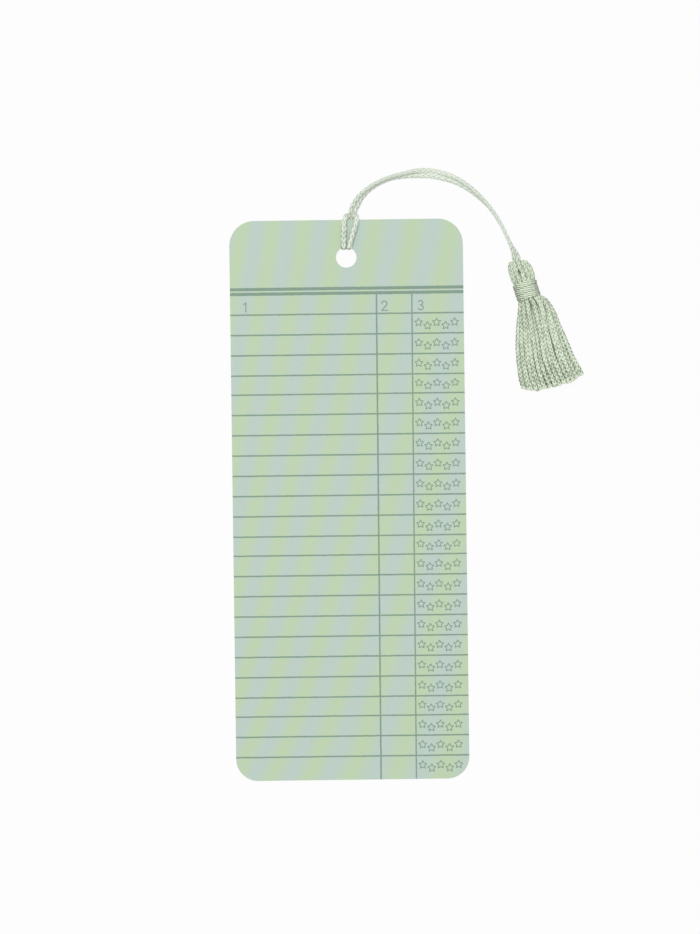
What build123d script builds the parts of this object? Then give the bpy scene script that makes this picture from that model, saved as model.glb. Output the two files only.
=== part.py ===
"""Flat card bookmark with a doubled cord hitched through its punched hole and a tassel on the cord's end.

The bookmark lies face up on a level surface. +X runs across the card, +Y along it towards the hole,
+Z up from the surface. The origin is on the surface, under the middle of the card.
"""
import math
import os

from build123d import *

# Card, in millimetres
card_width = 63.5
card_length = 152.4
card_thickness = 0.5
corner_radius = 6.0
top_corner_radius = 6.8
hole_diameter = 5.6
hole_from_top = 10.2

# Cord, doubled from the hitch to the tassel
cord_diameter = 1.2
strand_side_gap = 0.1
rest_gap = 0.08
crossing_gap = 0.1
edge_gap = 0.1
left_leg_in_hole = -0.65
right_leg_in_hole = 0.96
left_leg_at_edge = -0.50
right_leg_at_edge = 3.60

# Joints along the cord
swing_x = 3.65
swing_past_edge = 4.95
crown_x = 20.5
crown_past_edge = 12.3
swing_gap = 0.3
swing_margin = 0.07
fold_gap = 0.3
fold_axis_gap = 0.02

# Tassel
tassel_angle = 13.5
first_strand_angle = 90
inner_tails_turned = 4
strand_count = 13
core_strand_count = 3
strand_diameter = 0.74
strand_gap = 0.11
fold_radius = 0.47
knot_diameter = 2.4
knot_depth = 2.6
head_length = 6.0
head_below_swing = 1.9
head_shoulder = 1.1
core_leaves_above_neck = 2.8
core_arrives_above_neck = 1.2
middle_leaves_above_neck = 1.8
middle_arrives_above_neck = 0.4
neck_margin = 0.1
flare_below_neck = 1.4
skirt_length = 24.5
skirt_hem_rise = 1.2
skirt_flatten = 0.07

# Thread wound round the tassel's neck
thread_diameter = 0.45
thread_turns = 5
thread_gap = 0.42
thread_seat_gap = 0.05

# Half width of the tassel's skirt, to its outermost strand, at distances below the neck
skirt_spread = ((4.0, 4.05, 0.35), (9.0, 5.8, 0.65), (16.0, 7.15, 0.9), (skirt_length, 7.8, 1.0))

# Share of the shorter run that an arc takes at a corner of a route
cord_turn_share = 0.45
hitch_turn_share = 0.4
strand_turn_share = 0.48

# Places worked out from the sizes above
cord_radius = cord_diameter / 2
side_step = (cord_diameter + strand_side_gap) / 2
lay_height = cord_radius + rest_gap
over_height = lay_height + cord_diameter + crossing_gap
top_edge = card_length / 2
hole_centre = top_edge - hole_from_top
hole_upper_edge = hole_centre + hole_diameter / 2
lean = math.degrees(math.asin((cord_diameter + 2 * rest_gap) / (hole_upper_edge + card_length / 2)))


def card_back(y):
    """Height of the leaning card's back face over the surface."""
    return (y + card_length / 2) * math.tan(math.radians(lean))


def on_card(y):
    """Height of a cord's centreline that lies on the card's front face."""
    return card_back(y) + card_thickness / math.cos(math.radians(lean)) + lay_height


def through_hole(x):
    """Where a cord that is pulled towards the top edge passes through the punched hole."""
    room = hole_diameter / 2 - cord_radius - rest_gap
    return Vector(x, hole_centre + math.sqrt(room**2 - x**2), 0)


def turn_radii(points, share):
    """Radius at each corner of a route: a share of its shorter run over the tangent of half the turn."""
    radii = []
    for before, corner, after in zip(points, points[1:], points[2:]):
        half_turn = math.radians((corner - before).get_angle(after - corner)) / 2
        shorter = min((corner - before).length, (after - corner).length)
        radii.append(share * shorter / math.tan(half_turn))
    return radii


def tube(name, points, diameter, share):
    """Round tube along straight runs joined by tangent arcs."""
    radii = turn_radii(points, share)
    path = FilletPolyline(*points, radius=radii)
    section = Plane(path @ 0, z_dir=path % 0) * Circle(diameter / 2)
    solid = sweep(section, path=path)
    plain_volume = math.pi * diameter**2 / 4 * path.length
    print(f"{name}: length {path.length:.1f}, least radius {min(radii):.2f}, "
          f"volume {solid.volume:.2f} of {plain_volume:.2f}")
    return solid


def beside(route, side):
    """One strand of the pair: the pair's centreline moved half a step sideways, turned by the pair's twist."""
    strand = []
    for index, (place, twist) in enumerate(route):
        before = route[max(index - 1, 0)][0]
        after = route[min(index + 1, len(route) - 1)][0]
        along = Vector(after.X - before.X, after.Y - before.Y, 0).normalized()
        left = Vector(-along.Y, along.X, 0)
        step = left * math.cos(math.radians(twist)) + Vector(0, 0, 1) * math.sin(math.radians(twist))
        strand.append(place + step * (side * side_step))
    return strand


def lying_pair(points):
    """Pair's centreline from hand-chosen points: x, y past the top edge, lift off the surface, twist."""
    route = []
    for x, past_edge, lift, twist in points:
        height = lay_height + side_step * abs(math.sin(math.radians(twist))) + lift
        route.append((Vector(x, top_edge + past_edge, height), twist))
    return route


def upright(radius, centre, below):
    """Upright cylinder about a swing axis, from a depth below the axis point to well above it."""
    height = below + 4 * cord_diameter
    base = (Align.CENTER, Align.CENTER, Align.MIN)
    return Pos(centre.X, centre.Y, centre.Z - below) * Cylinder(radius, height, align=base)


def behind(centre, heading, reach):
    """Block on the rear side of an upright plane through a swing axis."""
    turned = Plane(centre, x_dir=heading, z_dir=(0, 0, 1))
    return turned * Pos(-reach / 2, 0, 0) * Box(reach, 2 * reach, 2 * reach)


# Printed card, leaning a little because the cord behind it lifts its upper end
outline = Rectangle(card_width, card_length)
outline = fillet(outline.vertices().group_by(Axis.Y)[-1], top_corner_radius)
outline = fillet(outline.vertices().group_by(Axis.Y)[0], corner_radius)
outline -= Pos(0, hole_centre) * Circle(hole_diameter / 2)
card = extrude(outline, card_thickness).rotate(Axis((0, -card_length / 2, 0), (1, 0, 0)), lean)

# Hitch: the bight lies past the card's top edge, under the standing pair that comes up from behind
over_lift = over_height - lay_height
swing_place = (swing_x, swing_past_edge, over_lift, 0)
standing = lying_pair(((1.34, 0.55, 0, 0), (1.98, 2.15, over_lift, 0), swing_place))
swing_point = standing[-1][0]
edge_bend = top_edge + cord_radius + edge_gap
left_turn = through_hole(left_leg_in_hole)
right_turn = through_hole(right_leg_in_hole)
left_leg = [
    Vector(left_turn.X, left_turn.Y, lay_height),
    Vector(left_turn.X, left_turn.Y, on_card(left_turn.Y)),
    Vector(left_leg_at_edge, edge_bend, on_card(top_edge)),
]
bight_points = ((-0.42, 1.85, 0.45, 0), (0.40, 2.85, 0, 0), (3.20, 2.85, 0, 0), (4.10, 1.85, 0.40, 0))
bight = [place for place, twist in lying_pair(bight_points)]
right_leg = [
    Vector(right_leg_at_edge, edge_bend, on_card(top_edge)),
    Vector(right_turn.X, right_turn.Y, on_card(right_turn.Y)),
    Vector(right_turn.X, right_turn.Y, lay_height),
]
hitch_route = beside(standing, 1)[::-1] + left_leg + bight + right_leg + beside(standing, -1)
hitch_loop = tube("hitch_loop", hitch_route, cord_diameter, hitch_turn_share)

# Near half of the arch, from the hitch to the crown
near_points = (
    swing_place,
    (4.60, 6.35, over_lift - 0.25, 5),
    (7.00, 8.40, 0.30, 30),
    (9.90, 10.05, 0, 48),
    (12.90, 11.20, 0, 42),
    (15.80, 11.95, 0, 18),
    (18.30, 12.30, 0, 0),
)
near_route = lying_pair(near_points + ((crown_x - fold_gap / 2, crown_past_edge, 0, 0),))

# Far half of the arch, from the crown to the tassel, where the strands twist half a turn
strand_pitch = strand_gap + strand_diameter
core_ring = strand_pitch / (2 * math.sin(math.pi / core_strand_count))
middle_strand_count = strand_count - core_strand_count
middle_ring = strand_pitch / (2 * math.sin(math.pi / middle_strand_count))
outer_ring = middle_ring + strand_pitch
head_inner_ring = strand_pitch / (2 * math.sin(math.pi / strand_count))
head_outer_ring = head_inner_ring + 2 * fold_radius
thread_ring = outer_ring + strand_diameter / 2 + thread_seat_gap + thread_diameter / 2
axis_height = rest_gap + max(thread_ring + thread_diameter / 2, head_outer_ring + strand_diameter / 2)
far_points = (
    (22.50, 12.30, 0, 0),
    (25.80, 11.75, 0, 10),
    (29.20, 10.60, 0, 30),
    (32.40, 8.85, 0, 50),
    (35.40, 6.50, 0, 65),
    (38.00, 3.80, 0, 80),
    (40.30, 0.80, 0, 90),
    (42.30, -2.40, 0.15, 110),
    (44.05, -5.50, 0.95, 140),
    (45.45, -7.90, 2.0, 165),
    (46.76, -9.85, axis_height - lay_height, 180),
)
far_route = lying_pair(((crown_x + fold_gap / 2, crown_past_edge, 0, 0),) + far_points)
tassel_point = far_route[-1][0]

# The hitch's ends are hollowed round the swing axis, and the near strands' ends are rounded to turn there
swing_radius = side_step + cord_radius + swing_margin
hollow_radius = swing_radius + swing_gap
reach = 4 * hollow_radius


def level_heading(route, start, end):
    """Level direction between two points of a pair's centreline."""
    step = route[end][0] - route[start][0]
    return Vector(step.X, step.Y, 0).normalized()


near_heading = level_heading(near_route, 0, 1)
far_heading = level_heading(far_route, -2, -1)
hitch_loop -= upright(hollow_radius, swing_point, cord_radius + crossing_gap / 2)
near_start = behind(swing_point, near_heading, reach) - upright(swing_radius, swing_point, reach)
far_end = behind(tassel_point, far_heading * -1, reach) - upright(swing_radius, tassel_point, reach)
near_route = [(swing_point - near_heading * hollow_radius, 0)] + near_route[1:]
last_run = (far_route[-1][0] - far_route[-2][0]).normalized()
far_route = far_route[:-1] + [(tassel_point + last_run * hollow_radius, 180)]
cords = {"hitch_loop": hitch_loop}
for word, side in (("left", 1), ("right", -1)):
    near_name = f"cord_near_{word}"
    far_name = f"cord_far_{word}"
    cords[near_name] = tube(near_name, beside(near_route, side), cord_diameter, cord_turn_share) - near_start
    cords[far_name] = tube(far_name, beside(far_route, side), cord_diameter, cord_turn_share) - far_end

# Tassel's own directions: down its axis, and sideways across it on the surface
down = Vector(math.sin(math.radians(tassel_angle)), -math.cos(math.radians(tassel_angle)), 0)
across = Vector(math.cos(math.radians(tassel_angle)), math.sin(math.radians(tassel_angle)), 0)
head_top = Vector(tassel_point.X, tassel_point.Y, axis_height) + down * head_below_swing
thread_pitch = thread_diameter + thread_gap
neck_length = thread_turns * thread_pitch + thread_diameter + 2 * neck_margin
neck_bottom = head_length + neck_length
axis_drop = axis_height - rest_gap - outer_ring * (1 - skirt_flatten) - strand_diameter / 2


def in_tassel(sideways, upwards, depth):
    """Point given across, above and down the tassel's axis from the top of its head."""
    return head_top + across * sideways + Vector(0, 0, upwards) + down * depth


def ring_point(ring, angle, depth):
    """Point on a ring round the tassel's axis."""
    return in_tassel(ring * math.cos(angle), ring * math.sin(angle), depth)


def tail(ring, angle):
    """Points of one tail below the neck: it fans out sideways and settles towards the surface."""
    points = []
    for below, half_width, settled in skirt_spread:
        sideways = ring * math.cos(angle) * half_width / outer_ring
        upwards = ring * math.sin(angle) * (1 - skirt_flatten * settled) - axis_drop * settled
        rise = skirt_hem_rise * settled * (sideways / half_width) ** 2
        points.append(in_tassel(sideways, upwards, neck_bottom + below - rise))
    return points


# Stopper knot at the joined ends of the cord, with the two stubs that lead out of the tassel's head
knot = Location(in_tassel(0, 0, knot_depth)) * Sphere(knot_diameter / 2)
for side in (1, -1):
    stub_plane = Plane(in_tassel(side * side_step, 0, -head_below_swing), z_dir=down)
    knot += extrude(stub_plane * Circle(cord_radius), knot_depth + head_below_swing)
knot -= upright(hollow_radius, tassel_point, reach)

# Tassel strands, each folded over the knot: one tail outside, the other in the middle or the core
strands = {}
fold_depth = strand_diameter / 2 + rest_gap
for index in range(strand_count):
    angle = math.radians(first_strand_angle) + index * 2 * math.pi / strand_count
    cores_before = (index + 1) // (core_strand_count + 1)
    in_core = index % (core_strand_count + 1) == 2
    if in_core:
        inner_ring = core_ring
        inner_angle = angle
        leave = head_length - core_leaves_above_neck
        arrive = head_length - core_arrives_above_neck
    else:
        inner_ring = middle_ring
        first_inner_angle = math.radians(first_strand_angle + inner_tails_turned)
        inner_angle = first_inner_angle + (index - cores_before) * 2 * math.pi / middle_strand_count
        leave = head_length - middle_leaves_above_neck
        arrive = head_length - middle_arrives_above_neck
    outside = [
        ring_point(outer_ring, angle, neck_bottom + flare_below_neck),
        ring_point(outer_ring, angle, head_length),
        ring_point(head_outer_ring, angle, head_length - head_shoulder),
        ring_point(head_outer_ring, angle, fold_depth),
    ]
    inside = [
        ring_point(head_inner_ring, angle, fold_depth),
        ring_point(head_inner_ring, angle, leave),
        ring_point(inner_ring, inner_angle, arrive),
        ring_point(inner_ring, inner_angle, neck_bottom + flare_below_neck),
    ]
    route = tail(outer_ring, angle)[::-1] + outside + inside + tail(inner_ring, inner_angle)
    name = f"tassel_strand_{index + 1:02d}"
    strands[name] = tube(name, route, strand_diameter, strand_turn_share)


def coil_point(turn):
    """Point on the neck thread's centreline after a number of turns."""
    return ring_point(thread_ring, 2 * math.pi * turn, coil_start + thread_pitch * turn)


def coil_heading(turn):
    """Direction of the neck thread after a number of turns."""
    angle = 2 * math.pi * turn
    round_step = across * -math.sin(angle) + Vector(0, 0, math.cos(angle))
    return (round_step * (2 * math.pi * thread_ring) + down * thread_pitch).normalized()


def two_arcs(start, start_heading, end, end_heading):
    """Pair of arcs that leaves and arrives along given directions, joined smoothly where they meet."""
    chord = end - start
    both = start_heading + end_heading
    spread = 2 * (1 - start_heading.dot(end_heading))
    handle = (math.sqrt(chord.dot(both) ** 2 + spread * chord.dot(chord)) - chord.dot(both)) / spread
    meeting = (start + end + (start_heading - end_heading) * handle) * 0.5
    meeting_heading = (end - end_heading * handle - start - start_heading * handle).normalized()
    first = TangentArc(start, meeting, tangent=start_heading)
    second = TangentArc(meeting, end, tangent=meeting_heading)
    return [first, second]


# Neck thread: one unbroken winding, its ends straight for one thread diameter
coil_start = head_length + neck_margin + thread_diameter / 2
quarter_turns = [step / 4 for step in range(4 * thread_turns + 1)]
coil_edges = [Line(coil_point(0) - coil_heading(0) * thread_diameter, coil_point(0))]
for start_turn, end_turn in zip(quarter_turns, quarter_turns[1:]):
    coil_edges += two_arcs(
        coil_point(start_turn), coil_heading(start_turn), coil_point(end_turn), coil_heading(end_turn)
    )
coil_end = coil_point(thread_turns)
coil_edges.append(Line(coil_end, coil_end + coil_heading(thread_turns) * thread_diameter))
coil_path = Wire(coil_edges)
neck_thread = sweep(Plane(coil_path @ 0, z_dir=coil_path % 0) * Circle(thread_diameter / 2), path=coil_path)
samples = [coil_point(step / 72) for step in range(72 * thread_turns + 1)]
least_gap = min(
    (samples[first] - samples[second]).length - thread_diameter
    for first in range(len(samples))
    for second in range(first + 36, len(samples))
)
print(f"neck_thread: volume {neck_thread.volume:.2f}, least gap to itself {least_gap:.3f}")
print("swing axis", swing_point, "fold axis", (crown_x, top_edge + crown_past_edge,
      lay_height + cord_radius + fold_axis_gap), "tassel axis", tassel_point, "lean", lean)

# One file for each piece
nodes = {"card": card, **cords, "stopper_knot": knot, **strands, "neck_thread": neck_thread}
os.makedirs("parts", exist_ok=True)
for name, shape in nodes.items():
    export_step(shape, f"parts/{name}.step")
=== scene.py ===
"""Bookmark: a printed card, a doubled knitted cord hitched through its hole, and a tassel on its end."""
import math

import bpy
import numpy as np
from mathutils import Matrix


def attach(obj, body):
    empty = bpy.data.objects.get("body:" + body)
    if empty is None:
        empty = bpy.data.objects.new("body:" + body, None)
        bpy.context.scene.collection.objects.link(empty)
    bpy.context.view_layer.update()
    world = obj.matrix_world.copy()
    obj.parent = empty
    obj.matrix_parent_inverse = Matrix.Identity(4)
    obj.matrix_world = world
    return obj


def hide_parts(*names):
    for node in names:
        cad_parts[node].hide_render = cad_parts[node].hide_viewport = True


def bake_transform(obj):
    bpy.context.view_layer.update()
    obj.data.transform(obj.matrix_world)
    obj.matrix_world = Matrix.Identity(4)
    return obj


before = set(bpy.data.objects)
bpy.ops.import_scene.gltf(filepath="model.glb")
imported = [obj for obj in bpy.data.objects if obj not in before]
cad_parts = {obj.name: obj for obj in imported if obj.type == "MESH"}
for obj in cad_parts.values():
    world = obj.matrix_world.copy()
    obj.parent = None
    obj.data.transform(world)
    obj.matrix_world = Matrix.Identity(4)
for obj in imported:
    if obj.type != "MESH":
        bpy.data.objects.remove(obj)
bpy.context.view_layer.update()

# Printed card
# One die-cut sheet of 0.5 mm board with rounded corners and a punched hole. Its face is printed with soft
# wavy stripes in two greens and a ruled table; its cut edge and back show the bare board.
mm = 0.001


def shade(red, green, blue):
    """Screen colour of 0 to 255 as Blender's linear colour: the sRGB curve undone."""
    part = np.array((red, green, blue)) / 255
    linear = np.where(part <= 0.04045, part / 12.92, ((part + 0.055) / 1.055) ** 2.4)
    return (*linear.tolist(), 1.0)


def new_finish(name, roughness, specular):
    """Material with one shader of even gloss; returns it, its node tree and the shader."""
    material = bpy.data.materials.new(name)
    material.use_nodes = True
    shader = material.node_tree.nodes["Principled BSDF"]
    shader.inputs["Roughness"].default_value = roughness
    shader.inputs["Specular IOR Level"].default_value = specular
    return material, material.node_tree, shader


def feed(tree, socket, value):
    """Gives a node's input a number or colour, or the output of another node."""
    if isinstance(value, bpy.types.NodeSocket):
        tree.links.new(value, socket)
    else:
        socket.default_value = value


def calc(tree, operation, *values):
    """Math node: the operation on numbers or other nodes' outputs."""
    node = tree.nodes.new("ShaderNodeMath")
    node.operation = operation
    for socket, value in zip(node.inputs, values):
        feed(tree, socket, value)
    return node.outputs[0]


def total(tree, operation, values):
    """The operation carried along a list, as the least, the greatest, the sum or the product of them all."""
    result = values[0]
    for value in values[1:]:
        result = calc(tree, operation, result, value)
    return result


def blended(tree, share, first, second, mode="MIX"):
    """Mix node: first where the share is 0, second where it is 1."""
    node = tree.nodes.new("ShaderNodeMix")
    node.data_type = "RGBA"
    node.blend_type = mode
    feed(tree, node.inputs[0], share)
    feed(tree, node.inputs[6], first)
    feed(tree, node.inputs[7], second)
    return node.outputs[2]


def noise(tree, place, scale, detail=2.0, roughness=0.5):
    """Cloudy pattern from 0 to 1; scale is in clouds per unit of place."""
    node = tree.nodes.new("ShaderNodeTexNoise")
    feed(tree, node.inputs["Vector"], place)
    node.inputs["Scale"].default_value = scale
    node.inputs["Detail"].default_value = detail
    node.inputs["Roughness"].default_value = roughness
    return node.outputs["Fac"]


def ranged(tree, value, low, high, out_low, out_high):
    """Carries a value from one range to another, with soft ends, held at both ends."""
    node = tree.nodes.new("ShaderNodeMapRange")
    node.interpolation_type = "SMOOTHSTEP"
    for socket, given in zip(node.inputs, (value, low, high, out_low, out_high)):
        feed(tree, socket, given)
    return node.outputs["Result"]


def bump(tree, height, distance):
    """Bump node: a height from 0 to 1 stands out by the distance, at half strength."""
    half_strength = 0.5
    node = tree.nodes.new("ShaderNodeBump")
    node.inputs["Strength"].default_value = half_strength
    node.inputs["Distance"].default_value = distance
    feed(tree, node.inputs["Height"], height)
    return node.outputs["Normal"]


def printed_board():
    """Board printed by distances in millimetres: a mark is inked where its distance is under half its
    width. The table, stars, numbers and stripes are worked out in turn, and then put together."""
    stripe_green = shade(194, 215, 180)
    stripe_blue = shade(192, 210, 202)
    ink_colour = shade(124, 151, 134)
    board_colour = shade(226, 230, 220)
    board_roughness = 0.62
    board_specular = 0.3
    ink_blur = 0.05
    material, tree, shader = new_finish("printed_board", board_roughness, board_specular)
    place = tree.nodes.new("ShaderNodeTexCoord")
    in_mm = tree.nodes.new("ShaderNodeVectorMath")
    in_mm.operation = "SCALE"
    in_mm.inputs["Scale"].default_value = 1 / mm
    tree.links.new(place.outputs["Object"], in_mm.inputs[0])
    spot = in_mm.outputs[0]
    split = tree.nodes.new("ShaderNodeSeparateXYZ")
    tree.links.new(spot, split.inputs[0])
    pen_slip = 0.16
    slips_across = 0.9
    slips_along = 0.7
    slip_x = calc(tree, "MULTIPLY_ADD", noise(tree, spot, slips_across), pen_slip, -pen_slip / 2)
    slip_y = calc(tree, "MULTIPLY_ADD", noise(tree, spot, slips_along), pen_slip, -pen_slip / 2)
    slant = 0.0032
    slant_pivot = 45.0
    above_pivot = calc(tree, "SUBTRACT", split.outputs[1], slant_pivot)
    x = calc(tree, "MULTIPLY_ADD", above_pivot, -slant, calc(tree, "ADD", split.outputs[0], slip_x))
    y = calc(tree, "ADD", split.outputs[1], slip_y)

    def inked(distance, width):
        """Ink cover of a mark: 1 within half its width, 0 past it, blurred at its edge."""
        return ranged(tree, distance, width / 2 - ink_blur, width / 2 + ink_blur, 1.0, 0.0)

    def line_at(value, centre, width):
        """Straight line, along or across the card, where a coordinate is at its centre."""
        return inked(calc(tree, "ABSOLUTE", calc(tree, "SUBTRACT", value, centre)), width)

    def inside(value, low, high):
        """1 between two limits."""
        above = calc(tree, "GREATER_THAN", value, low)
        return calc(tree, "MULTIPLY", above, calc(tree, "LESS_THAN", value, high))

    def stroke(across, up, start, end):
        """Distance from a straight pen stroke: the way along it is held between its ends."""
        run = (end[0] - start[0], end[1] - start[1])
        from_x = calc(tree, "SUBTRACT", across, start[0])
        from_y = calc(tree, "SUBTRACT", up, start[1])
        square = run[0] ** 2 + run[1] ** 2
        way_x = calc(tree, "MULTIPLY", from_x, run[0] / square)
        way = calc(tree, "MULTIPLY_ADD", from_y, run[1] / square, way_x)
        held = calc(tree, "MINIMUM", calc(tree, "MAXIMUM", way, 0.0), 1.0)
        off_x = calc(tree, "MULTIPLY_ADD", held, -run[0], from_x)
        off_y = calc(tree, "MULTIPLY_ADD", held, -run[1], from_y)
        square_x = calc(tree, "MULTIPLY", off_x, off_x)
        return calc(tree, "SQRT", calc(tree, "MULTIPLY_ADD", off_y, off_y, square_x))

    # Ruled table, drawn in blocks of eight rows with a shorter step from one block to the next
    header_line = 50.62
    row_pitch = 5.52
    short_step = 5.18
    rows_in_block = 8
    rows_before_header = 4
    row_count = 23
    upper_rule = 57.56
    lower_rule = 56.26
    number_column = 8.04
    star_column = 17.66
    row_width = 0.42
    number_column_width = 0.43
    star_column_width = 0.37
    rule_width = 0.85
    long_steps = (rows_in_block - 1) * row_pitch
    block_top = header_line + rows_before_header * row_pitch
    in_block = calc(tree, "FLOORED_MODULO", calc(tree, "SUBTRACT", block_top, y), long_steps + short_step)
    past_long = calc(tree, "SUBTRACT", in_block, long_steps)
    stretched = calc(tree, "MULTIPLY_ADD", past_long, row_pitch / short_step, long_steps)
    below_row = calc(tree, "MAXIMUM", in_block, stretched)
    row_line = inked(calc(tree, "PINGPONG", below_row, row_pitch / 2), row_width)
    short_steps = (row_count - 1 + rows_before_header) // rows_in_block
    table_foot = header_line - (row_count - 0.5) * row_pitch + short_steps * (row_pitch - short_step)
    row_line = calc(tree, "MULTIPLY", row_line, inside(y, table_foot, header_line + row_pitch / 2))
    number_side = line_at(x, number_column, number_column_width)
    columns = calc(tree, "MAXIMUM", number_side, line_at(x, star_column, star_column_width))
    columns = calc(tree, "MULTIPLY", columns, calc(tree, "LESS_THAN", y, lower_rule))
    rules = calc(tree, "MAXIMUM", line_at(y, upper_rule, rule_width), line_at(y, lower_rule, rule_width))

    # Rows of five outlined stars, every second one a little lower
    stars_in_row = 5
    star_points = 5
    star_x = 19.42
    star_pitch = 2.45
    star_radius = 1.12
    star_waist = 0.58
    star_raise = 0.2
    star_drop = 0.9
    star_line = 0.25
    turn = math.tau / star_points
    number = calc(tree, "ROUND", calc(tree, "DIVIDE", calc(tree, "SUBTRACT", x, star_x), star_pitch))
    number = calc(tree, "MINIMUM", calc(tree, "MAXIMUM", number, 0.0), stars_in_row - 1.0)
    star_across = calc(tree, "MULTIPLY_ADD", number, -star_pitch, calc(tree, "SUBTRACT", x, star_x))
    in_row = calc(tree, "SUBTRACT", row_pitch / 2, calc(tree, "FLOORED_MODULO", below_row, row_pitch))
    dropped = calc(tree, "MULTIPLY", calc(tree, "MODULO", number, 2.0), star_drop)
    star_up = calc(tree, "ADD", calc(tree, "SUBTRACT", in_row, star_raise), dropped)
    bearing = calc(tree, "ARCTAN2", star_across, star_up)
    folded = calc(tree, "PINGPONG", bearing, turn / 2)
    square_x = calc(tree, "MULTIPLY", star_across, star_across)
    reach = calc(tree, "SQRT", calc(tree, "MULTIPLY_ADD", star_up, star_up, square_x))
    folded_x = calc(tree, "MULTIPLY", reach, calc(tree, "SINE", folded))
    folded_y = calc(tree, "MULTIPLY", reach, calc(tree, "COSINE", folded))
    waist_point = (star_waist * math.sin(turn / 2), star_waist * math.cos(turn / 2))
    stars = inked(stroke(folded_x, folded_y, (0.0, star_radius), waist_point), star_line)
    stars = calc(tree, "MULTIPLY", stars, calc(tree, "LESS_THAN", y, header_line))

    # Plain numbers at the heads of the columns, each a middle and the points of its pen strokes
    number_base = 51.45
    number_line = 0.3
    numerals = (
        (-27.6, ((-0.45, 1.95), (0.10, 2.55), (0.10, 0.0))),
        (10.2, ((-0.72, 1.90), (-0.50, 2.40), (0.0, 2.58), (0.50, 2.38), (0.68, 1.90), (0.45, 1.35),
                (-0.75, 0.0), (0.80, 0.0))),
        (20.1, ((-0.65, 2.25), (-0.20, 2.58), (0.35, 2.46), (0.55, 2.02), (0.30, 1.52), (-0.15, 1.38),
                (0.40, 1.22), (0.68, 0.75), (0.45, 0.20), (-0.10, 0.0), (-0.68, 0.30))),
    )
    strokes = []
    up = calc(tree, "SUBTRACT", y, number_base)
    for centre, points in numerals:
        across = calc(tree, "SUBTRACT", x, centre)
        strokes += [stroke(across, up, start, end) for start, end in zip(points, points[1:])]
    numbers = inked(total(tree, "MINIMUM", strokes), number_line)

    # Stripes that widen from the left edge to the right, and lean more towards the foot of the card
    half_width = 31.75
    half_length = 76.2
    from_left = calc(tree, "ADD", split.outputs[0], half_width)
    fallen = calc(tree, "SUBTRACT", half_length, split.outputs[1])
    left_pitch = 7.9
    pitch_growth = 0.055
    widened = calc(tree, "MULTIPLY_ADD", from_left, pitch_growth / left_pitch, 1.0)
    count_across = calc(tree, "DIVIDE", calc(tree, "LOGARITHM", widened, math.e), pitch_growth)
    top_rate = 0.01865
    rate_growth = 0.0000458
    count_down = calc(tree, "MULTIPLY", fallen, calc(tree, "MULTIPLY_ADD", fallen, rate_growth, top_rate))
    foot_from = 100.0
    foot_turn = 0.00022
    foot = calc(tree, "MAXIMUM", calc(tree, "SUBTRACT", fallen, foot_from), 0.0)
    leftness = calc(tree, "MULTIPLY_ADD", from_left, -1 / half_width, 1.0)
    foot_count = total(tree, "MULTIPLY", [foot, foot, leftness, foot_turn])
    wobble = 0.18
    wobbles = 0.07
    wave = calc(tree, "MULTIPLY_ADD", noise(tree, spot, wobbles), wobble, -wobble / 2)
    first_stripe = -0.463
    count = total(tree, "ADD", [count_across, count_down, foot_count, wave, first_stripe])
    swing = calc(tree, "COSINE", calc(tree, "MULTIPLY", count, math.tau))
    stripe = calc(tree, "MULTIPLY_ADD", swing, 0.5, 0.5)

    # Print, paper grain and bare board put together
    colour = blended(tree, stripe, stripe_blue, stripe_green)
    driest_cover = 0.8
    dry_range = (0.25, 0.75)
    dry_spots = noise(tree, spot, 2.2, detail=3.0, roughness=0.7)
    dryness = ranged(tree, dry_spots, *dry_range, driest_cover, 1.0)
    ink = total(tree, "MAXIMUM", [row_line, columns, rules, stars, numbers])
    colour = blended(tree, calc(tree, "MULTIPLY", ink, dryness), colour, ink_colour)
    facing = tree.nodes.new("ShaderNodeSeparateXYZ")
    tree.links.new(place.outputs["Normal"], facing.inputs[0])
    front = calc(tree, "GREATER_THAN", facing.outputs[2], 0.5)
    colour = blended(tree, front, board_colour, colour)
    fibres = noise(tree, spot, 3.5, detail=4.0, roughness=0.65)
    darkest_fibre = 0.96
    lightest_fibre = 1.03
    fibre_range = (0.2, 0.8)
    fibre_height = 0.02 * mm
    grain = ranged(tree, fibres, *fibre_range, darkest_fibre, lightest_fibre)
    tone = tree.nodes.new("ShaderNodeCombineColor")
    for socket in tone.inputs[:3]:
        tree.links.new(grain, socket)
    feed(tree, shader.inputs["Base Color"], blended(tree, 1.0, colour, tone.outputs[0], "MULTIPLY"))
    feed(tree, shader.inputs["Normal"], bump(tree, fibres, fibre_height))
    return material


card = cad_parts["card"]
card.data.materials.clear()
card.data.materials.append(printed_board())

# Cord
# One length of soft, slightly flat knitted rayon cord, doubled. Its loop comes up through the hole, goes
# over the card's face and top edge and round behind the pair that rises there, and the pair lies in an
# arch to the tassel.
top_edge = 76.2
cord_wide = 0.74
cord_thin = 0.53
stitch_pitch = 1.56
axis_height = 3.17533
upwards = np.array((0.0, 0.0, 1.0))


def lying_pair(points):
    """Middle of the pair, the way from it to the left strand and half the strands' distance, from rows of
    x, y past the card's top edge, lift, twist and that half distance. The twist turns the pair about its
    own line, and without lift the lower strand lies on the surface."""
    x, past_edge, lift, twist, apart = np.array(points, float).T
    twist = np.radians(twist)
    half_height = np.hypot(cord_wide * np.sin(twist), cord_thin * np.cos(twist))
    height = half_height + apart * np.abs(np.sin(twist)) + lift
    middle = np.stack([x, top_edge + past_edge, height], axis=1)
    along = np.gradient(middle[:, :2], axis=0)
    along /= np.linalg.norm(along, axis=1, keepdims=True)
    left = np.stack([-along[:, 1], along[:, 0], np.zeros(len(middle))], axis=1)
    to_left = left * np.cos(twist)[:, None] + upwards * np.sin(twist)[:, None]
    return middle, to_left, apart[:, None]


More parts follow.
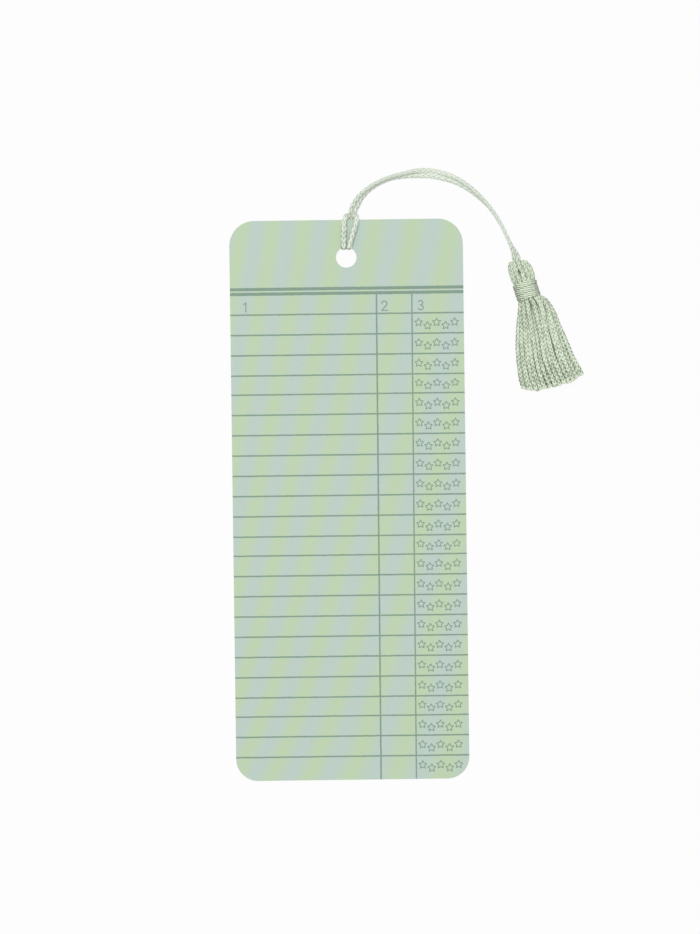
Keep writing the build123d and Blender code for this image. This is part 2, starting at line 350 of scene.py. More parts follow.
def smooth_line(points):
    """Line of the NURBS spline of order 3 that has these control points, in metres."""
    curve = bpy.data.curves.new("route", "CURVE")
    curve.dimensions = "3D"
    curve.resolution_u = 24
    spline = curve.splines.new("NURBS")
    spline.points.add(len(points) - 1)
    spline.points.foreach_set("co", np.c_[np.array(points) * mm, np.ones(len(points))].ravel())
    spline.order_u = 3
    spline.use_endpoint_u = True
    holder = bpy.data.objects.new("route", curve)
    mesh = bpy.data.meshes.new_from_object(holder)
    line = np.empty(len(mesh.vertices) * 3, np.float32)
    mesh.vertices.foreach_get("co", line)
    bpy.data.objects.remove(holder)
    bpy.data.meshes.remove(mesh)
    bpy.data.curves.remove(curve)
    return line.reshape(-1, 3).astype(float)


def lengths(line):
    """Distance along a line to each of its points."""
    return np.concatenate([[0.0], np.cumsum(np.linalg.norm(np.diff(line, axis=0), axis=1))])


def nearest(line, place):
    """Distance along a line to its point nearest a place in millimetres."""
    return lengths(line)[np.linalg.norm(line - np.array(place) * mm, axis=1).argmin()]


def heading(line):
    """Direction along a line at each of its points."""
    along = np.gradient(line, axis=0)
    return along / np.linalg.norm(along, axis=1, keepdims=True)


def carried(line, first_side):
    """Directions beside a line, which turn with the line and never about it."""
    sides = []
    side = np.array(first_side, float)
    for ahead in heading(line):
        side = side - ahead * (side @ ahead)
        side = side / np.linalg.norm(side)
        sides.append(side)
    return np.array(sides)


def put_mesh(name, points, faces, material, values):
    """Mesh object at the origin, with a material and named values on its points. Its four-sided faces are
    smooth and its end caps flat, so that the caps don't shade the rings beside them."""
    mesh = bpy.data.meshes.new(name)
    mesh.from_pydata(points.tolist(), [], faces)
    mesh.polygons.foreach_set("use_smooth", [len(face) == 4 for face in faces])
    for word, value in values.items():
        mesh.attributes.new(word, "FLOAT", "POINT").data.foreach_set("value", value.astype(np.float32))
    mesh.materials.append(material)
    piece = bpy.data.objects.new(name, mesh)
    bpy.context.scene.collection.objects.link(piece)
    return piece


def tube_faces(rings, around):
    """Four-sided faces between the rings of a tube, and a fan on the last point of each end."""
    ring, spoke = np.meshgrid(np.arange(rings - 1), np.arange(around), indexing="ij")
    corner = ring * around + spoke
    beyond = ring * around + (spoke + 1) % around
    sides = np.stack([corner, beyond, beyond + around, corner + around], axis=-1).reshape(-1, 4)
    spokes = np.arange(around)
    turned = (spokes + 1) % around
    last = (rings - 1) * around
    first_cap = np.stack([turned, spokes, np.full(around, rings * around)], axis=1)
    last_cap = np.stack([last + spokes, last + turned, np.full(around, rings * around + 1)], axis=1)
    return sides.tolist() + first_cap.tolist() + last_cap.tolist()


def with_ends(rings):
    """Values on a tube's rings, and on the last point of each end the mean of its ring."""
    return np.concatenate([rings.ravel(), rings[[0, -1]].mean(axis=1)])


def squared(ways, line):
    """Directions beside a line: the ways less their part along the line, at length one."""
    along = heading(line)
    ways = ways - along * (ways * along).sum(axis=1, keepdims=True)
    return ways / np.linalg.norm(ways, axis=1, keepdims=True)


def evenly(line, ways, start, end, step):
    """Part of a line and of the ways on it between two distances, with evenly spaced points."""
    spaced = np.linspace(start, end, int(np.ceil((end - start) / step)) + 1)
    both = np.concatenate([line, ways], axis=1)
    parts = np.stack([np.interp(spaced, lengths(line), values) for values in both.T], axis=1)
    return spaced, parts[:, :3], squared(parts[:, 3:], parts[:, :3])


def column(values, count):
    """One value, or one for each of the points, as a column of that many rows."""
    return np.broadcast_to(np.atleast_1d(values), count)[:, None]


def knitted(name, line, side, wide, thin, pitch, material, start=0.0, around=32, groove=0.5, loose=0.1,
            tone=0.5, wind=0.0, edge=0.0):
    """Knitted tube of oval section round a line. It has four columns of stitches, each a chain of Vs: the
    legs of a V are rounded ridges that lean out from the column's middle, one in each pitch, with a groove
    between, and a small hollow lies in the middle between one V and the next. Legs lie deeper by up to the
    loose share, the columns wind about the line by an angle for each stitch, and the narrow edges are
    darker by a share, as painted shade. The relief carried on the points also paints shade into the
    grooves, the hollows and the deeper legs. The seed of the loose legs is the tone, so that each strand
    has its own."""
    columns = 4
    lean = 0.62
    depth = 0.4
    uneven = 0.1
    uneven_rate = 0.9
    uneven_phase = 20 * tone
    leg_flank = 0.3
    leg_round = 0.9
    edge_sharpness = 6
    hollow_share = 0.6
    hollow_wide = 0.3
    hollow_long = 0.2
    over = np.cross(heading(line), side)
    way = (start + lengths(line))[:, None] / pitch
    way = way + uneven * np.sin(uneven_rate * way + uneven_phase)
    angle = np.arange(around)[None, :] * math.tau / around
    turned = (angle + wind * way) * columns / math.tau + 0.5
    across = np.abs(turned % 1.0 - 0.5) * 2
    along_leg = way - lean * across
    crest = np.abs(np.cos(math.pi * along_leg))
    leg = np.sqrt(1 - leg_round * (2 * across - 1) ** 2)
    hollow = np.exp(-(across / hollow_wide) ** 2 - ((way % 1 - 0.5) / hollow_long) ** 2)
    leg_number = np.round(along_leg).astype(int)
    leg_column = np.floor(turned * 2).astype(int) % (2 * columns)
    legs_sunk = np.random.default_rng(int(1000 * tone)).random((leg_number.max() + 2, 2 * columns))
    in_groove = column(groove, len(line)) * (1 - crest + hollow_share * hollow)
    fallen = column(loose, len(line)) * legs_sunk[leg_number, leg_column]
    relief = 1 - leg_flank * (1 - leg) - in_groove - fallen
    out = 1 - depth * (1 - relief)
    beside = column(wide, len(line)) * np.cos(angle) * out
    above = column(thin, len(line)) * np.sin(angle) * out
    rings = line[:, None] + side[:, None] * beside[..., None] + over[:, None] * above[..., None]
    points = np.concatenate([rings.reshape(-1, 3), line[[0, -1]]])
    # Painted shade: the colour darkens with the relief in grooves and hollows, and at the narrow edges by
    # the edge share
    lit = relief * (1 - column(edge, len(line)) * np.cos(angle) ** edge_sharpness)
    values = {"relief": with_ends(lit), "fibre": with_ends(along_leg), "tone": np.full(len(points), tone)}
    return put_mesh(name, points, tube_faces(len(line), around), material, values)


def yarn(name, light, dark, shaded, roughness):
    """Knitted yarn: dark, as painted shade, where the relief is at the low end of the shaded range, light at
    its high end, with fine twisted fibres. A share of the tone makes one strand a little lighter than
    another."""
    yarn_specular = 0.35
    yarn_sheen = 0.2
    sheen_roughness = 0.4
    filaments = 6
    clouds = 900.0
    cloud_share = 0.16
    cloud_rough = 0.5
    fibre_share = 0.04
    tone_share = 0.12
    least_tint = 0.86
    fibre_height = 0.03 * mm
    material, tree, shader = new_finish(name, roughness, yarn_specular)

    def on_points(word):
        """Value that the mesh carries on its points."""
        node = tree.nodes.new("ShaderNodeAttribute")
        node.attribute_name = word
        return node.outputs["Fac"]

    place = tree.nodes.new("ShaderNodeTexCoord").outputs["Object"]
    # Painted shade: the relief that the mesh carries blends the light colour into the dark one
    hollow = ranged(tree, on_points("relief"), *shaded, 0.0, 1.0)
    colour = blended(tree, hollow, dark, light)
    fibre = calc(tree, "SINE", calc(tree, "MULTIPLY", on_points("fibre"), math.tau * filaments))
    cloud = noise(tree, place, clouds, detail=3.0, roughness=0.6)
    mixed = calc(tree, "MULTIPLY_ADD", cloud, cloud_share, least_tint)
    mixed = calc(tree, "MULTIPLY_ADD", fibre, fibre_share, mixed)
    mixed = calc(tree, "MULTIPLY_ADD", on_points("tone"), tone_share, mixed)
    tint = tree.nodes.new("ShaderNodeCombineColor")
    for socket in tint.inputs[:3]:
        tree.links.new(mixed, socket)
    feed(tree, shader.inputs["Base Color"], blended(tree, 1.0, colour, tint.outputs[0], "MULTIPLY"))
    shader.inputs["Sheen Weight"].default_value = yarn_sheen
    shader.inputs["Sheen Roughness"].default_value = sheen_roughness
    rough = calc(tree, "MULTIPLY_ADD", cloud, cloud_rough, fibre)
    feed(tree, shader.inputs["Normal"], bump(tree, rough, fibre_height))
    return material


# The pair's route from under the card's top edge up past the hitch, and then in its arch to the tassel
squeezed = 0.47
apart = 0.72
standing = (
    (1.25, -0.60, 0.08, 0, squeezed),
    (1.45, 0.50, 0.30, 0, squeezed),
    (1.70, 1.50, 1.12, 8, squeezed + 0.05),
    (2.20, 3.00, 1.15, 22, squeezed + 0.17),
)
arch = (
    (3.38, 5.15, 0.75, 43, apart),
    (4.48, 6.68, 0.40, 52, apart),
    (6.82, 8.72, 0.05, 69, apart),
    (9.78, 10.40, 0, 74, apart),
    (12.82, 11.48, 0, 74, apart),
    (15.80, 12.00, 0, 60, apart),
    (18.28, 12.38, 0, 42, apart),
    (20.50, 12.53, 0, 18, apart),
    (22.52, 12.57, 0, 2, apart),
    (25.86, 11.98, 0, 8, apart),
    (29.30, 10.86, 0, 42, apart),
    (32.54, 9.06, 0, 57, apart),
    (35.56, 6.72, 0, 69, apart),
    (38.32, 4.04, 0, 86, apart),
    (40.64, 0.98, 0, 90, apart),
    (42.52, -2.30, 0, 94, apart),
    (43.98, -5.58, 0.25, 94, apart),
    (45.05, -8.18, 1.00, 104, apart),
    (45.90, -10.05, 1.90, 130, apart),
)

# The loop's route: a leg up through the hole and over the face, the bight behind the pair, and a leg back
left_leg = (
    (-0.62, 70.00, 0.62),
    (-0.66, 68.42, 0.62),
    (-0.66, 68.42, 2.40),
    (-0.62, 70.20, 2.42),
    (-0.50, 74.60, 2.47),
    (-0.36, 76.00, 2.50),
)
bight = (
    (-0.16, 76.95, 2.30),
    (0.10, 77.50, 1.05),
    (0.95, 77.65, 0.56),
    (2.15, 77.65, 0.56),
    (2.90, 77.45, 1.05),
    (2.98, 76.85, 2.30),
)
right_leg = (
    (2.98, 75.95, 2.50),
    (2.64, 74.60, 2.47),
    (1.24, 70.10, 2.42),
    (0.76, 68.42, 2.40),
    (0.76, 68.42, 0.62),
    (0.90, 70.00, 0.62),
)

# The tassel's axis, and how far the middle of its bundle lies beside it at each depth
tassel_angle = math.radians(13.5)
down = np.array((math.sin(tassel_angle), -math.cos(tassel_angle), 0.0))
across_tassel = np.array((math.cos(tassel_angle), math.sin(tassel_angle), 0.0))
tassel_point = np.array((46.76, 66.35, axis_height))
head_below_swing = 1.9
head_top = tassel_point + down * head_below_swing
bundle_middle = (
    (0.0, -0.85), (4.0, -0.48), (8.0, -0.36), (10.3, -0.2), (12.3, 0.62), (17.0, 0.55), (20.5, 0.27),
    (28.0, -0.1), (32.0, 0.22), (35.0, 0.8),
)


def at_depth(depth, rows):
    """Value at each depth, from rows of depth and value with straight runs between them."""
    return np.interp(depth, *np.array(rows).T)


def in_tassel(sideways, raised, depth):
    """Points across, above and down the tassel's axis from the top of its head, in millimetres; the middle
    of the bundle sways a little to either side of the axis."""
    shifted = np.multiply.outer(sideways + at_depth(depth, bundle_middle), across_tassel)
    return head_top + shifted + np.multiply.outer(raised, upwards) + np.multiply.outer(depth, down)


pair_middle, to_left, pair_half = lying_pair(standing + arch)
strand = {"left": pair_middle + to_left * pair_half, "right": pair_middle - to_left * pair_half}
left_into_head = [in_tassel(-0.35, 0, 2.2), in_tassel(-0.65, 0, -0.5)]
right_into_head = [in_tassel(0.45, 0, -0.5), in_tassel(0.35, 0, 2.2)]
route = np.concatenate([
    left_into_head, strand["left"][::-1], left_leg, bight, right_leg, strand["right"], right_into_head,
])
to_right = np.array((1.0, 0.0, 0.0))
round_bight = (
    (1.0, -0.3, 0.0), (0.7, -0.7, 0.0), (0.2, -1.0, 0.0),
    (-0.2, -1.0, 0.0), (-0.7, -0.7, 0.0), (-1.0, -0.3, 0.0),
)
flat_way = np.concatenate([
    [across_tassel] * 2, -to_left[::-1], [to_right] * len(left_leg), round_bight,
    [-to_right] * len(right_leg), to_left, [-across_tassel] * 2,
])
cord_line = smooth_line(route)
cord_side = squared(smooth_line(route + flat_way) - cord_line, cord_line)
rings_in_stitch = 12
ring_step = stitch_pitch / rings_in_stitch * mm
# The dark colour is painted shade for the cord's grooves, hollows and edges
cord_light = shade(244, 253, 238)
cord_shade_colour = shade(166, 179, 158)
cord_yarn = yarn("knitted_cord", cord_light, cord_shade_colour, shaded=(0.1, 0.82), roughness=0.55)
cord_length = lengths(cord_line)[-1]
nipped_at = (strand["left"][1], (1.55, 77.6, 0.56), strand["right"][1])
nips = [nearest(cord_line, place) for place in nipped_at]
nip_reach = 2.2 * mm
nip_narrower = 0.2
nip_thicker = 0.05
pressed_at = ((-0.58, 71.0, 2.45), (1.55, 71.0, 2.45))
legs = [nearest(cord_line, place) for place in pressed_at]
leg_reach = 4.4 * mm
leg_wider = 0.1
leg_thinner = 0.12
past_nip = 2.0 * mm
head_grip = 0.5
hitch_grip = 0.3
grips = (
    (0.0, head_grip), (nips[0] - past_nip, hitch_grip), (nips[2] + past_nip, hitch_grip),
    (cord_length, head_grip),
)
grip_reach = 6.5 * mm
# Groove and loose legs shape the relief and paint shade into it; the edge shares are painted shade along the
# cord's narrow edges, more on the pressed legs
cord_groove = 0.42
cord_loose = 0.1
leg_looser = 0.25
cord_edge_shade = 0.1
leg_edge_shade = 0.6


def cord_piece(name, start, end):
    """Piece of the cord between two distances along it, and the line that it follows. The hitch nips the
    cord narrower and thicker where it holds it, and the card's face and hole press its legs wider and
    thinner, with looser stitches and painted shade along their edges. Its stitches are drawn tight, with
    deeper grooves that take more painted shade, near the hitch and the tassel's head."""
    way, line, side = evenly(cord_line, cord_side, start, end, ring_step)
    nipped = sum(np.exp(-((way - nip) / nip_reach) ** 2) for nip in nips)
    pressed = sum(np.exp(-((way - leg) / leg_reach) ** 4) for leg in legs)
    wide = (cord_wide - nip_narrower * nipped + leg_wider * pressed) * mm
    thin = (cord_thin + nip_thicker * nipped - leg_thinner * pressed) * mm
    gripped = sum(share * np.exp(-((way - grip) / grip_reach) ** 2) for grip, share in grips)
    piece = knitted(name, line, side, wide, thin, stitch_pitch * mm, cord_yarn, start,
                    groove=cord_groove + gripped, loose=cord_loose + leg_looser * pressed,
                    edge=cord_edge_shade + leg_edge_shade * pressed)
    return piece, line


through = {"left": (-0.66, 68.5, 1.1), "right": (0.76, 68.5, 1.1)}
at_hole = {word: nearest(cord_line, place) for word, place in through.items()}
hitch, _ = cord_piece("cord_hitch", at_hole["left"], at_hole["right"])
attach(hitch, "card")
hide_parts("hitch_loop")
before_crown_row = len(standing) + 6
before_entry_row = -3
cord_ends = {}
arches = {}
for word, tip in (("left", 0.0), ("right", cord_length)):
    before_crown = nearest(cord_line, strand[word][before_crown_row])
    before_entry = nearest(cord_line, strand[word][before_entry_row])
    rise, rise_line = cord_piece(f"cord_rise_{word}", *sorted((at_hole[word], before_crown)))
    arched, arch_line = cord_piece(f"cord_arch_{word}", *sorted((before_crown, before_entry)))
    ending, _ = cord_piece(f"cord_end_{word}", *sorted((before_entry, tip)))
    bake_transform(rise)
    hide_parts(f"cord_near_{word}")
    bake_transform(arched)
    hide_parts(f"cord_far_{word}")
    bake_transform(ending)
    cord_line[np.abs(lengths(cord_line) - at_hole[word]).argmin()]
    arches[word] = (arched, arch_line, before_crown)
    cord_ends[word] = ending

# Stopper knot
# The cord's two ends are joined in an overhand knot that sits inside the tassel's head, where the strands
# that are folded over it hide it. It is drawn as a trefoil, the closed form of that knot: sines and cosines
# of the turn and of twice the turn, which go up and down by the sine of three times the turn.
knot_depth = 2.6
knot_size = 0.36
knot_steps = 240
knot_turn = np.linspace(0, math.tau, knot_steps + 1)
knot_line = np.stack([
    np.sin(knot_turn) + 2 * np.sin(2 * knot_turn),
    np.cos(knot_turn) - 2 * np.cos(2 * knot_turn),
    -np.sin(3 * knot_turn),
], axis=1)
knot_line = (in_tassel(0, 0, knot_depth) + knot_line * knot_size) * mm
knot_radius = 0.34 * mm
knot = knitted("stopper_knot_tied", knot_line, carried(knot_line, upwards), knot_radius, knot_radius,
               stitch_pitch * mm, cord_yarn, around=24)
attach(knot, "tassel")
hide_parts("stopper_knot")

# Tassel strands
# Thirteen lengths of a knitted yarn like the cord's, each folded in half over the knot. Both tails pass
# through the bound neck and fan out below it into a flat skirt, where the inner tails come up between the
# outer ones.
strand_count = 13
core_strand_count = 3
middle_strand_count = strand_count - core_strand_count
core_ring = 0.49
middle_ring = 1.375
outer_ring = 2.225
flattened = 0.925
neck_top = 6.6
neck_bottom = 10.6
outer_settled = 21.0
inner_settled = 14.6
strand_wide = 0.8
strand_thin = 0.62
strand_pitch = 1.15
hem_depth = 35.5
hem_rise = 1.3
head_tilt = 0.35
skirt_depths = (11.7, 13.4, 16.0, 19.5, 23.5, 28.0, 32.0)
skirt_outline = (
    (11.0, 2.95), (12.0, 3.4), (14.0, 4.18), (16.0, 4.78),
    (20.0, 5.6), (24.0, 6.53), (28.0, 7.08), (33.0, 7.93),
)
outer_wide = (
    (0.0, 0.45), (0.8, 0.58), (2.2, 0.7), (5.2, 0.7), (6.6, 0.5), (10.4, 0.55),
    (11.8, 0.76), (16.0, strand_wide), (26.0, strand_wide), (33.0, strand_wide - 0.02),
)
outer_thin = (
    (0.0, 0.42), (0.8, 0.5), (2.2, 0.6), (5.2, 0.6), (6.6, 0.48), (10.4, 0.5), (12.0, strand_thin),
)
inner_less = 0.04
inner_wide = (
    (0.0, 0.42), (2.0, 0.34), (6.0, 0.36), (10.6, 0.44), (12.2, 0.7), (14.0, strand_wide - inner_less),
)
inner_thin = (
    (0.0, 0.42), (2.0, 0.34), (6.0, 0.36), (10.6, 0.42), (12.2, strand_thin - inner_less),
)
# Painted shade along the strands' narrow edges, growing towards the hem; the grooves take painted shade too
strand_edge_shade = ((6.0, 0.1), (12.0, 0.55), (24.0, 0.7), (32.0, 1.0))
strand_groove = ((5.0, 0.36), (9.0, 0.38), (24.0, 0.38), (32.0, 0.45))
strand_loose = 0.28
strand_tones = (0.2, 0.8)
strand_winds = (-0.12, 0.12)
end_rounding = 0.4
end_least = 0.02
end_plain = 0.8
# The dark colour is painted shade in the strands' grooves, hollows and edges
strand_light = shade(240, 253, 227)
strand_shade_colour = shade(98, 112, 88)
strand_yarn = yarn("tassel_yarn", strand_light, strand_shade_colour, shaded=(0.05, 0.92), roughness=0.5)
chance = np.random.default_rng(7)


def ring_point(ring, angle, depth):
    """Point on a ring round the tassel's axis, a little flattened by the tassel's own weight."""
    return in_tassel(ring * math.cos(angle), ring * math.sin(angle) * flattened, depth)


def side_by_side(places, step):
    """Even slots either side of the middle, a step apart, in the order of the places from left to right."""
    return (places.argsort().argsort() - (len(places) - 1) / 2) * step


# Places in the neck: every strand has one tail in the outer ring, and one in the middle ring or the core
first_outer = math.radians(90)
first_middle = math.radians(94)
strand_number = np.arange(strand_count)
outer_angle = first_outer + strand_number * math.tau / strand_count
in_core = strand_number % (core_strand_count + 1) == 2
cores_before = (strand_number + 1) // (core_strand_count + 1)
inner_ring = np.where(in_core, core_ring, middle_ring)
middle_angle = first_middle + (strand_number - cores_before) * math.tau / middle_strand_count
inner_angle = np.where(in_core, outer_angle, middle_angle)

# Slots across the skirt and heights above the surface at the hem, in four layers
upper_step = 2.0
lower_outer_step = 2.2
lower_inner_step = 1.5
on_top = np.sin(outer_angle) > 0
inner_height = inner_ring * np.sin(inner_angle)
between_tops = inner_height >= np.sort(inner_height)[-(on_top.sum() - 1)]
outer_slot = np.empty(strand_count)
outer_slot[on_top] = side_by_side(np.cos(outer_angle)[on_top], upper_step)
outer_slot[~on_top] = side_by_side(np.cos(outer_angle)[~on_top], lower_outer_step)
inner_place = inner_ring * np.cos(inner_angle)
inner_slot = np.empty(strand_count)
inner_slot[between_tops] = side_by_side(inner_place[between_tops], upper_step)
inner_slot[~between_tops] = side_by_side(inner_place[~between_tops], lower_inner_step)
edge_slot = outer_slot.max()
floor_layer = strand_thin + 0.12
top_layer = 3.3
edge_layer = floor_layer + 0.2
arch_power = 3.3
below_top = 0.4
middle_layer = 1.9
middle_fall = 0.01


def arched_over(slot):
    """Height of the upper layer: level over the middle and down near the surface at both edges, by a power
    of the share of the way to the edge."""
    return top_layer - (top_layer - edge_layer) * np.abs(slot / edge_slot) ** arch_power


outer_rest = np.where(on_top, arched_over(outer_slot), floor_layer)
under_tops = middle_layer - middle_fall * inner_slot ** 2
inner_rest = np.where(between_tops, arched_over(inner_slot) - below_top, under_tops)


def eased(way):
    """Share that grows from 0 to 1 with no kink at either end: three squares less two cubes of the way."""
    way = np.clip(way, 0, 1)
    return way ** 2 * (3 - 2 * way)


def tail(ring, angle, slot, rest, settled):
    """Points of one tail below the neck: it leaves its place in the ring for its slot across the skirt and
    its height at rest, by shares that grow smoothly down to where it has settled and where the skirt has.
    It is shifted, bent, lifted and cut a little by chance."""
    most_shift = 0.15
    most_bend = 0.12
    bend_length = 3.0
    most_lift = 0.1
    most_cut = 0.3
    hem_power = 4
    shift, lift, phase, cut = chance.uniform(-1, 1, 4)
    end = hem_depth - hem_rise * abs(slot / edge_slot) ** hem_power + most_cut * cut
    depth = np.array((*skirt_depths, end))
    share = eased((depth - neck_bottom) / (settled - neck_bottom))
    sunk = eased((depth - neck_bottom) / (outer_settled - neck_bottom))
    half = at_depth(depth, skirt_outline)
    spread = (1 - share) * math.cos(angle) * ring / outer_ring + share * slot / edge_slot
    wander = share * (most_shift * shift + most_bend * np.sin(depth / bend_length + math.pi * phase))
    in_ring = ring * math.sin(angle) * flattened
    raised = (1 - sunk) * in_ring + sunk * (rest + most_lift * lift - axis_height)
    return in_tassel(spread * half + wander, raised, depth)


def outwards(angle):
    """Direction away from the tassel's axis."""
    return across_tassel * math.cos(angle) + upwards * math.sin(angle)


# Each strand runs from the hem up its outer tail, over the knot and down its inner tail. Its folded middle
# is given as places in the tassel, with the way that its broad side faces there. The first two strands, at
# the front of the head, part a little
strands = []
head_parting = np.zeros(strand_count)
head_parting[:2] = (-0.14, 0.1)
for index in range(strand_count):
    angle = outer_angle[index]
    parted = angle + head_parting[index]
    inner = (inner_ring[index], inner_angle[index])
    outer_tail = tail(outer_ring, angle, outer_slot[index], outer_rest[index], outer_settled)
    inner_tail = tail(*inner, inner_slot[index], inner_rest[index], inner_settled)
    out = outwards(angle)
    folded = (
        (ring_point(outer_ring, angle, neck_bottom), out),
        (ring_point(outer_ring, angle, neck_top), out),
        (ring_point(2.84, angle, 5.2), out),
        (ring_point(2.86, angle, 4.1), out),
        (ring_point(2.84, parted, 3.4), out),
        (ring_point(2.80, angle, 2.6), out - 0.1 * down),
        (ring_point(2.62, angle, 1.5 + head_tilt * math.cos(angle)), out - 0.4 * down),
        (ring_point(2.00, angle, 0.2 + head_tilt * math.cos(angle)), 0.5 * out - down),
        (ring_point(1.05, angle, 0.95), -out - 0.5 * down),
        (ring_point(1.20, angle, 3.4), -out),
        (ring_point(*inner, 5.4), -outwards(inner[1])),
        (ring_point(*inner, neck_bottom), -outwards(inner[1])),
    )
    places, facings = (np.array(values) for values in zip(*folded))
    places = np.concatenate([outer_tail[::-1], places, inner_tail])
    outer_face = np.tile(math.copysign(1, math.sin(angle)) * upwards, (len(outer_tail), 1))
    inner_face = np.tile(-math.copysign(1, math.sin(inner[1])) * upwards, (len(inner_tail), 1))
    facings = np.concatenate([outer_face, facings, inner_face])
    whole = smooth_line(places)
    facing = smooth_line(places + facings) - whole
    strand_step = strand_pitch / rings_in_stitch * mm
    way, line, face = evenly(whole, facing, 0.0, lengths(whole)[-1], strand_step)
    depth = (line / mm - head_top) @ down
    outer_part = np.arange(len(line)) < depth.argmin()
    wide = np.where(outer_part, at_depth(depth, outer_wide), at_depth(depth, inner_wide))
    thin = np.where(outer_part, at_depth(depth, outer_thin), at_depth(depth, inner_thin))
    from_end = np.minimum(way, way[-1] - way) / mm
    short_of_full = 1 - np.clip(from_end / end_rounding, 0, 1)
    rounding = np.sqrt(np.clip(1 - short_of_full ** 2, end_least, 1)) * mm
    knit_shown = np.clip(from_end / end_plain, 0, 1)
    side = np.cross(heading(line), face)
    piece = knitted(f"tassel_strand_knit_{index + 1:02d}", line, side, wide * rounding, thin * rounding,
                    strand_pitch * mm, strand_yarn, start=chance.uniform(0, strand_pitch) * mm,
                    groove=at_depth(depth, strand_groove) * knit_shown, loose=strand_loose * knit_shown,
                    tone=chance.uniform(*strand_tones), wind=chance.uniform(*strand_winds),
                    edge=at_depth(depth, strand_edge_shade) * knit_shown)
    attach(piece, "tassel")
    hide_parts(f"tassel_strand_{index + 1:02d}")
    strands.append(piece)

# Neck thread
# One fine two-ply thread wound in nine close turns round the strands below the head, which it draws in to a
# neck. Its ends are tucked under the winding.
thread_turns = 9
thread_radius = 0.29
thread_ring = 3.08
thread_pitch = 0.53
wound_from = 6.1
winding_tilt = 0.27
thread_steps = 72
thread_lay = 1.1
thread_tone = 0.5
# Painted shade on the neck's sides, where the winding faces away from the light
side_shade = 0.5


def wound_thread():
    """Line of the winding: a ring that goes down one pitch a turn, tilted a little, uneven by slow sines of
    the turns, with both ends drawn inwards. Also gives how far each point faces to the left or right side
    of the neck, from 0 to 1, which sets how much painted shade the thread takes there."""
    tuck_turns = 0.2
    tuck_depth = 0.4
    tilt_from = 2.6
    uneven_ring = 0.03
    ring_rate = 1.7
    uneven_pitch = 0.04
    pitch_rate = 2.3
    turn = np.linspace(0, thread_turns, thread_turns * thread_steps + 1)
    angle = turn * math.tau
    tucked = np.clip(np.minimum(turn, thread_turns - turn) / tuck_turns, 0, 1)
    ring = thread_ring - tuck_depth * (1 - tucked) ** 2 + uneven_ring * np.sin(ring_rate * turn)
    depth = wound_from + thread_pitch * turn + winding_tilt * np.cos(angle + tilt_from)
    depth = depth + uneven_pitch * np.sin(pitch_rate * turn)
    line = in_tassel(ring * np.cos(angle), ring * np.sin(angle) * flattened, depth) * mm
    return line, np.abs(np.cos(angle))


def plied(name, line, radius, lay, material, edge, around=16):
    """Two-ply thread: a tube whose radius dips in two grooves that turn once in each lay. The grooves are
    painted darker as shade, and each point of its line is darker by a share, as painted shade."""
    groove = 0.26
    darkest = 0.2
    side = carried(line, across_tassel)
    over = np.cross(heading(line), side)
    way = lengths(line)[:, None] / lay
    angle = np.arange(around)[None, :] * math.tau / around
    relief = np.abs(np.cos(angle - math.pi * way))
    out = radius * (1 - groove + groove * relief)
    spoke = side[:, None] * np.cos(angle)[..., None] + over[:, None] * np.sin(angle)[..., None]
    points = np.concatenate([(line[:, None] + spoke * out[..., None]).reshape(-1, 3), line[[0, -1]]])
    # Painted shade: darker in the ply grooves, and by the given share on the neck's sides
    lit = (darkest + (1 - darkest) * relief) * (1 - column(edge, len(line)))
    fibre = angle / math.tau + way
    tone = np.full(len(points), thread_tone)
    values = {"relief": with_ends(lit), "fibre": with_ends(fibre), "tone": tone}
    return put_mesh(name, points, tube_faces(len(line), around), material, values)


# The dark colour is painted shade for the thread's grooves and the neck's sides
thread_light = shade(242, 254, 230)
thread_shade_colour = shade(112, 126, 100)
thread_yarn = yarn("binding_thread", thread_light, thread_shade_colour, shaded=(0.15, 0.84), roughness=0.45)
winding_line, facing_side = wound_thread()
winding = plied("neck_winding", winding_line, thread_radius * mm, thread_lay * mm, thread_yarn,
                side_shade * facing_side ** 2)
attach(winding, "tassel")
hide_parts("neck_thread")
for word, (arched, arch_line, before_crown) in arches.items():
    joined = [cord_ends[word]]
    if word == "left":
        joined += [knot, winding] + strands
    cord_line[np.abs(lengths(cord_line) - before_crown).argmin()]

# Studio
# A plain white table under the bookmark, a large soft lamp from the upper left, even light all round, and a
# camera straight above, turned a little as in the photograph.
image_width = 700
image_height = 934
pixel = 0.2725 * mm
card_centre_column = 349.4
card_centre_row = 499.95
camera_turn = math.radians(-0.75)
camera_height = 0.8
sensor = 36.0
view_right = (image_width / 2 - card_centre_column) * pixel
view_up = (card_centre_row - image_height / 2) * pixel
camera_data = bpy.data.cameras.new("overhead")
camera_data.sensor_width = sensor
camera_data.lens = sensor * camera_height / (image_height * pixel)
camera = bpy.data.objects.new("overhead", camera_data)
camera.location = (
    view_right * math.cos(camera_turn) - view_up * math.sin(camera_turn),
    view_right * math.sin(camera_turn) + view_up * math.cos(camera_turn),
    camera_height,
)
camera.rotation_euler = (0, 0, camera_turn)
bpy.context.scene.collection.objects.link(camera)
bpy.context.scene.camera = camera


def seen_directly(tree):
    """1 for rays from the camera, and for those that a mirror or glass passes on."""
    path = tree.nodes.new("ShaderNodeLightPath")
    rays = [path.outputs[word] for word in ("Is Camera Ray", "Is Glossy Ray", "Is Transmission Ray")]
    return total(tree, "MAXIMUM", rays)


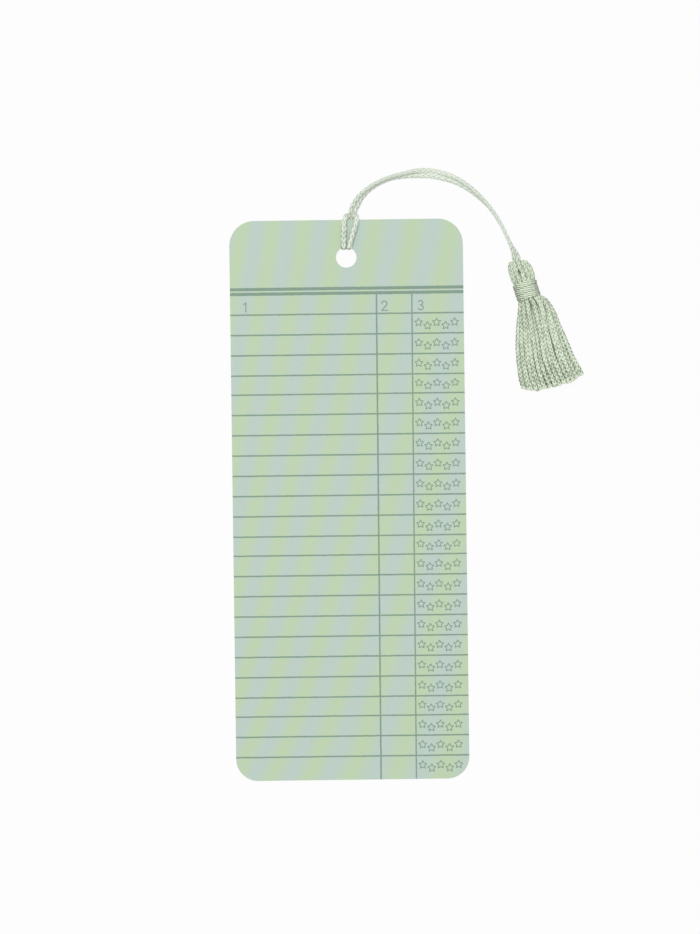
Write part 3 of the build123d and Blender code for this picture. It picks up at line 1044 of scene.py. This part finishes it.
def white_table():
    """White surface that takes light and shadow, lifted towards plain white where it is seen directly."""
    table_white = 0.75
    lifted = 0.94
    material = bpy.data.materials.new("white_table")
    material.use_nodes = True
    tree = material.node_tree
    output = tree.nodes["Material Output"]
    tree.nodes.remove(tree.nodes["Principled BSDF"])
    matt = tree.nodes.new("ShaderNodeBsdfDiffuse")
    matt.inputs["Color"].default_value = (table_white, table_white, table_white, 1)
    glow = tree.nodes.new("ShaderNodeEmission")
    mix = tree.nodes.new("ShaderNodeMixShader")
    tree.links.new(calc(tree, "MULTIPLY", seen_directly(tree), lifted), mix.inputs[0])
    tree.links.new(matt.outputs[0], mix.inputs[1])
    tree.links.new(glow.outputs[0], mix.inputs[2])
    tree.links.new(mix.outputs[0], output.inputs["Surface"])
    return material


floor_reach = 6.0
floor_mesh = bpy.data.meshes.new("table")
floor_mesh.from_pydata(
    [(-floor_reach, -floor_reach, 0), (floor_reach, -floor_reach, 0),
     (floor_reach, floor_reach, 0), (-floor_reach, floor_reach, 0)],
    [], [(0, 1, 2, 3)],
)
floor_mesh.materials.append(white_table())
floor = bpy.data.objects.new("table", floor_mesh)
bpy.context.scene.collection.objects.link(floor)

world = bpy.data.worlds.new("studio")
bpy.context.scene.world = world
world.use_nodes = True
sky = world.node_tree
even_light = 0.46
sky.nodes["Background"].inputs["Color"].default_value = (1, 1, 1, 1)
strength = calc(sky, "MULTIPLY_ADD", seen_directly(sky), 1 - even_light, even_light)
sky.links.new(strength, sky.nodes["Background"].inputs["Strength"])

lamp_data = bpy.data.lights.new("softbox", "AREA")
lamp_data.shape = "RECTANGLE"
lamp_side = 1.6
lamp_power = 37.0
lamp_place = (-0.35, 0.5, 2.5)
lamp_data.size = lamp_side
lamp_data.size_y = lamp_side
lamp_data.energy = lamp_power
lamp = bpy.data.objects.new("softbox", lamp_data)
lamp.location = lamp_place
aim = -np.array(lamp_place)
lamp.rotation_euler = (
    math.atan2(math.hypot(aim[0], aim[1]), -aim[2]),
    0,
    math.atan2(aim[1], aim[0]) - math.pi / 2,
)
bpy.context.scene.collection.objects.link(lamp)
bpy.context.scene.view_settings.view_transform = "Standard"
